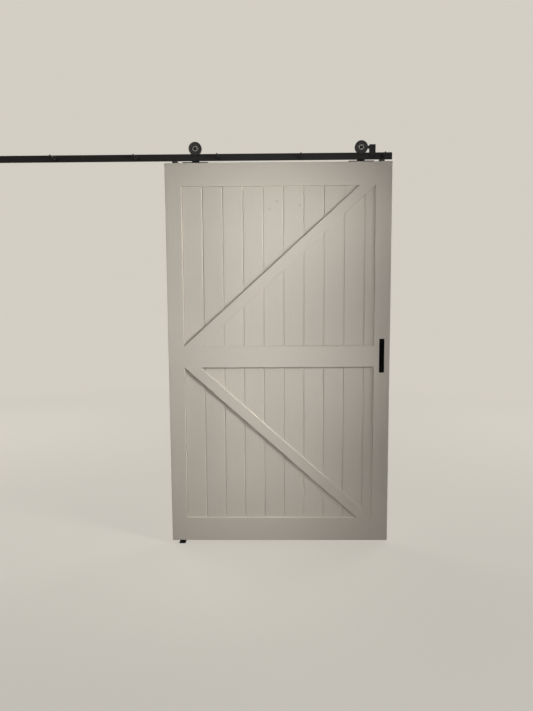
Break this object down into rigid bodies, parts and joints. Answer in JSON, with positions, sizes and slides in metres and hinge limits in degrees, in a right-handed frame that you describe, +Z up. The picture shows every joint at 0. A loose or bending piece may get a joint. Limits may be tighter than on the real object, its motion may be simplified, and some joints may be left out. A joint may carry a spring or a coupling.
{
  "type": "sliding barn door",
  "caption": "Painted plank door leaf with diagonal braces, hung on grooved wheels from a flat steel track, with end stops, pulls and a floor guide.",
  "frame": {"origin": "on the finished floor in the middle plane of the leaf, at the centre of the floor guide, with the leaf shut", "axes": "+X along the track, away from the side the leaf opens to; +Y away from the wall that carries the track; +Z up"},
  "size_m": [2.512, 0.173, 2.4598],
  "materials": {
    "painted_wood": "satin paint",
    "black_steel": "matt powder coat",
    "black_fasteners": "black oxide",
    "wheel_nylon": "satin",
    "disc_nylon": "matt",
    "bearing_steel": "ground",
    "bumper_rubber": "matt"
  },
  "bodies": {
    "track": {"track_rail": "black_steel", "standoffs": "black_steel", "lag_bolts": "black_fasteners", "lag_washers": "black_fasteners", "end_stop_left": "black_steel", "end_stop_right": "black_steel", "stop_bumpers": "bumper_rubber", "stop_set_screws": "black_fasteners", "floor_guide": "black_steel", "floor_guide_screws": "black_fasteners"},
    "leaf": {"anti_jump_discs": "disc_nylon", "anti_jump_screws": "black_fasteners", "axle_left": "black_fasteners", "axle_nuts": "black_fasteners", "axle_right": "black_fasteners", "axle_spacers": "black_fasteners", "bar_pull": "black_steel", "bar_pull_screws": "black_fasteners", "bearing_inner_rings": "bearing_steel", "board_lower_01": "painted_wood", "board_lower_02": "painted_wood", "board_lower_03": "painted_wood", "board_lower_04": "painted_wood", "board_lower_05": "painted_wood", "board_lower_06": "painted_wood", "board_lower_07": "painted_wood", "board_lower_08": "painted_wood", "board_lower_09": "painted_wood", "board_lower_10": "painted_wood", "board_upper_01": "painted_wood", "board_upper_02": "painted_wood", "board_upper_03": "painted_wood", "board_upper_04": "painted_wood", "board_upper_05": "painted_wood", "board_upper_06": "painted_wood", "board_upper_07": "painted_wood", "board_upper_08": "painted_wood", "board_upper_09": "painted_wood", "board_upper_10": "painted_wood", "bottom_rail": "painted_wood", "brace_lower_far": "painted_wood", "brace_lower_near": "painted_wood", "brace_upper_far": "painted_wood", "brace_upper_near": "painted_wood", "flush_pull": "black_steel", "flush_pull_screws": "black_fasteners", "hanger_left": "black_steel", "hanger_right": "black_steel", "hanger_screws": "black_fasteners", "mid_rail": "painted_wood", "stile_left": "painted_wood", "stile_right": "painted_wood", "top_rail": "painted_wood"},
    "left_wheel": {"wheel_left": "wheel_nylon", "bearing_outer_left": "bearing_steel", "bearing_balls_left": "bearing_steel"},
    "right_wheel": {"wheel_right": "wheel_nylon", "bearing_outer_right": "bearing_steel", "bearing_balls_right": "bearing_steel"}
  },
  "joints": [
    {"name": "leaf_slide", "type": "slide", "parent": "track", "child": "leaf", "axis": [-1, 0, 0], "range_m": [0, 1.18]},
    {"name": "left_wheel_spin", "type": "hinge", "parent": "leaf", "child": "left_wheel", "pos_m": [0.12, 0, 2.3943], "axis": [0, 1, 0], "range_deg": [-2260, 0]},
    {"name": "right_wheel_spin", "type": "hinge", "parent": "leaf", "child": "right_wheel", "pos_m": [1.092, 0, 2.3943], "axis": [0, 1, 0], "range_deg": [-2260, 0]}
  ],
  "couplings": [
    {"joint": "left_wheel_spin", "follows": "leaf_slide", "rad_per_m": -33.333},
    {"joint": "right_wheel_spin", "follows": "leaf_slide", "rad_per_m": -33.333}
  ]
}
